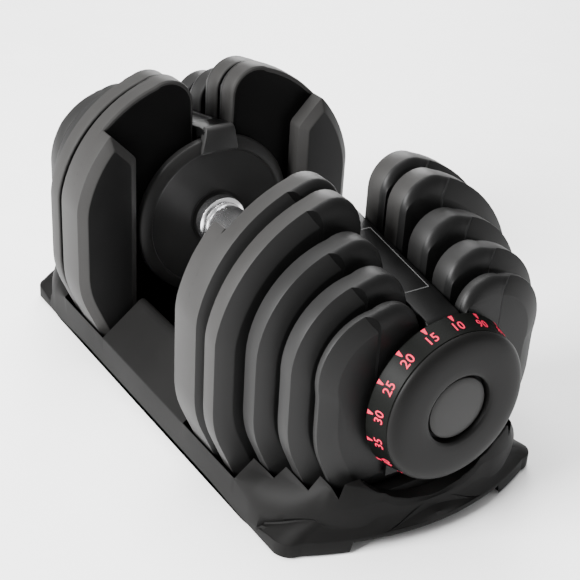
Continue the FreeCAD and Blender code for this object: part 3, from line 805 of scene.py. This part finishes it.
def ease(value, low, high):
    """0 below low, 1 above high, and smooth between."""
    share = min(max((value - low) / (high - low), 0.0), 1.0)
    return share * share * (3.0 - 2.0 * share)


def lip_height(x):
    """Height of the lower lip's top at x."""
    return 4.0 + 8.5 * ease(x, BODY_CORNER_X - 10.0, 188.0)


POCKETS = [(63.0, 0), (133.0, 2), (158.5, 3), (183.0, 4)]
SCOOP_X = 199.0
SCOOP_R = 72.0
BASIN_Y = 64.0
BASIN_Z = 12.0
PLATE_ROOM = 1.2


def pocket_at(x):
    """The plate whose pocket is cut at x, or None over the basin and under the dial."""
    found = None
    for start, number in POCKETS:
        if x >= start:
            found = PLATES[number]
    return None if x >= SCOOP_X else found


def tray_top(x):
    """Upper half profile of the tray at x, from the outer edge to the middle, as (y, z)."""
    lip_y = lip_half_width(x)
    body_y = min(body_half_width(x), lip_y)
    lip_z = lip_height(x)
    foot_z = min(lip_z + 0.2 + 0.6 * (lip_y - body_y), 24.0 - 7.0 * ease(x, 205.0, 215.0))
    wall_z = RIM_Z + (SHOULDER_Z - RIM_Z) * ease(x, 133.0, 155.0) + 5.0 * ease(x, 165.0, 203.0)
    crest_y = min(CREST_Y, body_y - 5.0) if body_y > 30 else body_y * 0.8
    crest_z = CREST_Z
    if x >= NOSE_X:
        crest_z = 50.0 - 24.0 * ease(x, NOSE_X - 0.4, BODY_NOSE)
    elif x > SCOOP_X:
        crest_z = CREST_Z - 3.0 * (x - SCOOP_X) / (NOSE_X - SCOOP_X)
    wall_z = min(wall_z, crest_z - 1.0)
    points = [(lip_y, lip_z - 1.6), (lip_y - 0.45, lip_z - 0.45), (lip_y - 1.6, lip_z)]
    if body_y < 0.5:
        middle = foot_z
        flat_y = max(lip_y - 1.6, 0.0)
        rest = [(flat_y * (1.0 - k / NOSE_STEPS), lip_z + (middle - lip_z) * ease(k / NOSE_STEPS, 0.0, 1.0))
                for k in range(1, NOSE_STEPS + 1)]
        return [(max(y, 0.0), z) for y, z in points] + rest
    if body_y > lip_y - 2.4:
        points += [(lip_y, lip_z - 1.0), (lip_y, lip_z), (lip_y, lip_z + 1.0)]
        points[0] = (lip_y, lip_z - 3.0)
        points[1] = (lip_y, lip_z - 2.0)
        points[2] = (lip_y, lip_z - 1.5)
        foot_z = lip_z + 2.0
    else:
        deep = ease(x, 152.0, 168.0) * (1.0 - ease(x, 203.0, 209.0))
        points += [((lip_y - 1.6 + body_y) / 2, (lip_z + foot_z) / 2 + 0.6 * deep),
                   (body_y - 1.6 * deep, foot_z), (body_y - 2.2 * deep, foot_z + 1.4)]
    slope = (crest_z - wall_z) / max(body_y - crest_y, 1.0)

    def rail(y):
        return wall_z + (body_y - y) * slope

    cut = pocket_at(x)
    if cut is None:
        if x < SCOOP_X:
            crest = [(crest_y + 5.0, crest_z - 3.6), (crest_y + 2.6, crest_z - 1.2), (crest_y, crest_z - 0.3),
                     (crest_y - 2.6, crest_z - 1.0), (crest_y - 4.8, crest_z - 3.6)]
            inner = [(BASIN_Y + 2.0, crest_z - 7.0), (BASIN_Y + 1.0, BASIN_Z + 3.0),
                     (BASIN_Y - 1.0, BASIN_Z + 0.8), (BASIN_Y - 4.0, BASIN_Z), (40.0, BASIN_Z),
                     (0.0, BASIN_Z)]
        else:
            def scoop(y):
                return AXIS_Z - math.sqrt(SCOOP_R ** 2 - min(y, 60.0) ** 2)
            reach = 0.0
            while reach < crest_y and scoop(reach) < crest_z:
                reach += 0.25
            edge = max(min(reach, crest_y - 2.0), 0.0)
            end_y = min(crest_y + 5.0, body_y - 0.8)
            crest = [(end_y, min(rail(end_y), crest_z)), (crest_y + 1.0, crest_z - 0.4), (crest_y, crest_z),
                     ((crest_y + edge) / 2, crest_z), (edge + 0.8, crest_z - 0.1)]
            inner = [(edge, min(scoop(edge), crest_z) - (0.8 if edge > 0.0 else 0.0))]
            inner += [(edge * k, min(scoop(edge * k), crest_z)) for k in (0.92, 0.75, 0.5, 0.25, 0.0)]
    else:
        room_w = cut["w"] + PLATE_ROOM
        low = cut["low"] - PLATE_ROOM
        foot_y = room_w - (cut["side_low"] - low) * LOWER_LEAN
        span = room_w - foot_y
        rise = cut["side_low"] - low
        y = (wall_z + body_y * slope - low + foot_y * rise / span) / (rise / span + slope)
        y = min(y, body_y - 0.8)
        z = min(low + (y - foot_y) * rise / span, rail(y))
        wall_z = min(wall_z, z)
        crest = [(y + 0.7, min(rail(y + 0.7), z)), (y + 0.5, z), (y + 0.3, z - 0.1), (y + 0.1, z - 0.3),
                 (y, z - 0.8)]
        inner = [(y + (foot_y - y) * 0.5, z + (low - z) * 0.5), (foot_y + 0.6, low + 1.4),
                 (foot_y, low + 0.4), (foot_y - 1.0, low), (foot_y * 0.5, low), (0.0, low)]
    end_z = crest[0][1]
    wall_top = min(wall_z, end_z)
    height = wall_top - foot_z
    blend = min(1.0 + 10.0 * ease(x, 130.0, 158.0), 0.9 * max(body_y - crest[0][0], 0.2),
                0.7 * max(height, 0.5))
    wall_point = Vector((body_y, wall_top - blend))
    turn = Vector((body_y, wall_top))
    rail_point = Vector((body_y - blend, min(rail(body_y - blend), end_z)))
    points.append((body_y, min(foot_z + 0.3 * height, wall_point.y)))
    for share in (0.0, 0.2, 0.4, 0.6, 0.8, 1.0):
        spot = wall_point * (1 - share) ** 2 + turn * 2 * share * (1 - share) + rail_point * share ** 2
        points.append((spot.x, spot.y))
    middle_y = (points[-1][0] + crest[0][0]) / 2
    points.append((middle_y, (points[-1][1] + crest[0][1]) / 2))
    return points + crest + inner


def tray_under(x):
    """Underside half profile of the tray at x, from the middle to the outer edge."""
    lip_y = lip_half_width(x)
    lip_z = lip_height(x)
    arch = ARCH_Z if x > 186.0 else UNDER_Z
    side = UNDER_Z + 6.0 * ease(150.0 - x, 0.0, 110.0)
    inner = min(60.0, max(lip_y - 1.0, 0.0))
    outer = min(63.0, max(lip_y - 0.8, 0.0))
    low = arch if lip_y < 62.0 else UNDER_Z
    edge_low = min(max(side, low), lip_z - 0.5)
    points = [(0.0, arch), (inner * 0.5, arch), (inner, arch), (outer, low),
              (max(lip_y - 8.0, outer), low), (max(lip_y - 6.0, outer), edge_low if x < 150 else low),
              (max(lip_y - 1.0, outer), edge_low), (lip_y, edge_low + 0.8)]
    return points


def tray_section(x):
    """The tray's half section at x, from the middle of its top round to the middle of its underside."""
    return [(x, y, z) for y, z in list(reversed(tray_top(x))) + list(reversed(tray_under(x)))]


# Where the tray's sections stand, close together round its pockets' edges and its nose.
TRAY_STATIONS = [
    0.0, 25.0, 45.0, 58.0, 62.6, 63.0, 80.0, 100.0, 118.0, 124.0, 128.0, 132.6, 133.0, 136.0, 139.0,
    142.0, 145.0, 147.5, 150.0, 151.5, 153.0, 154.5, 156.0, 158.1, 158.5, 160.0, 162.0, 164.0, 166.0,
    168.0, 170.0, 172.0, 174.0, 176.0, 178.0, 179.5, 181.0, 182.0, 182.7, 183.1, 184.0, 185.0,
    186.0, 186.4, 187.2, 188.0, 189.0, 190.0, 190.8, 191.5, 192.1, 192.6, 193.0, 194.0, 195.0, 196.0,
    197.0, 198.0, 198.7, 199.1, 200.0, 201.0, 202.0, 203.0, 204.0, 205.0, 205.6, 206.0, 207.0, 208.0,
    209.0, 209.8, 210.3, 210.6, 211.5, 212.5, 213.5, 214.2, 214.7, 215.0,
]


def moulded_tray():
    """Tray: one quarter drawn as sections pulled along X, then mirrored twice."""
    bm = bmesh.new()
    spot = bm.verts.layers.int.new("spot")
    verts = [bm.verts.new(p) for p in tray_section(TRAY_STATIONS[0])]
    for number, vert in enumerate(verts):
        vert[spot] = number
    edges = [bm.edges.new(pair) for pair in zip(verts, verts[1:])]
    for x in TRAY_STATIONS[1:]:
        section = tray_section(x)
        grown = bmesh.ops.extrude_edge_only(bm, edges=edges)["geom"]
        edges = [g for g in grown if isinstance(g, bmesh.types.BMEdge)]
        moved = {v for e in edges for v in e.verts}
        for vert in moved:
            vert.co = section[vert[spot]]
    bmesh.ops.remove_doubles(bm, verts=bm.verts, dist=0.01)
    for axis in ("Y", "X"):
        geometry = bm.verts[:] + bm.edges[:] + bm.faces[:]
        bmesh.ops.mirror(bm, geom=geometry, axis=axis, merge_dist=0.02)
        bmesh.ops.remove_doubles(bm, verts=bm.verts, dist=0.02)
    finish_piece("moulded_tray", bm, "tray", [TRAY_PLASTIC], ["tray_base"], sharp=36.0)


# ------------------------------------------------------------------ build
dress_frame_nodes()
for side_name, side_sign in SIDES.items():
    for plate_number in range(1, 6):
        weight_plate(plate_number, side_sign)
    guard_disc(side_name)
    bridge_arm(side_name)
    bridge_tab(side_name)
    bridge_lines(side_name)
    number_ring(side_name)
    dial_cover(side_name)
    centre_cap(side_name)
    printed_numbers(side_name)
chrome_grip()
moulded_tray()


# ------------------------------------------------------------------ stage
def stage_floor():
    bm = bmesh.new()
    bmesh.ops.create_grid(bm, x_segments=1, y_segments=1, size=4.0)
    mesh = bpy.data.meshes.new("studio_floor")
    bm.to_mesh(mesh)
    bm.free()
    floor = bpy.data.objects.new("studio_floor", mesh)
    bpy.context.scene.collection.objects.link(floor)
    mesh.materials.append(plastic("studio_white", grey(0.86), grey(0.88), 0.6, bump=0.0))


def soft_light(name, place, target, size, power):
    light = bpy.data.lights.new(name, "AREA")
    light.shape = "RECTANGLE"
    light.size, light.size_y = size
    light.energy = power
    lamp = bpy.data.objects.new(name, light)
    lamp.location = place
    lamp.rotation_euler = (Vector(target) - Vector(place)).to_track_quat("-Z", "Y").to_euler()
    bpy.context.scene.collection.objects.link(lamp)


def studio():
    stage_floor()
    soft_light("key_left", (0.0, -2.1, 1.2), (0.0, 0.0, 0.1), (1.3, 1.1), 310.0)
    soft_light("top_box", (-0.5, 0.1, 2.4), (0.0, 0.0, 0.0), (1.8, 1.8), 105.0)
    soft_light("edge_back", (-1.6, 1.2, 1.0), (0.0, 0.0, 0.1), (0.9, 0.9), 45.0)
    world = bpy.data.worlds.new("studio")
    world.use_nodes = True
    back = world.node_tree.nodes["Background"]
    back.inputs["Color"].default_value = (1.0, 1.0, 1.0, 1.0)
    back.inputs["Strength"].default_value = 0.62
    bpy.context.scene.world = world


CAMERA_PLACE = Vector((0.69845, -0.45830, 0.54292))
CAMERA_RIGHT = Vector((0.59239, 0.80106, 0.08593))
CAMERA_UP = Vector((-0.34723, 0.15761, 0.92444))
CAMERA_BACK = Vector((0.72699, -0.57747, 0.37152))
AIM = Vector((0.030, 0.000, 0.088))
LENS = 80.0


def studio_camera():
    """Camera at the viewing angle, turned to centre the dumbbell."""
    back = (CAMERA_PLACE - AIM).normalized()
    turn = CAMERA_BACK.rotation_difference(back)
    axes = Matrix((turn @ CAMERA_RIGHT, turn @ CAMERA_UP, turn @ CAMERA_BACK)).transposed()
    camera = bpy.data.cameras.new("studio_camera")
    camera.lens = LENS
    camera.sensor_width = 36.0
    camera.clip_start = 0.05
    eye = bpy.data.objects.new("studio_camera", camera)
    eye.matrix_world = Matrix.Translation(CAMERA_PLACE) @ axes.to_4x4()
    bpy.context.scene.collection.objects.link(eye)
    bpy.context.scene.camera = eye


studio()
studio_camera()
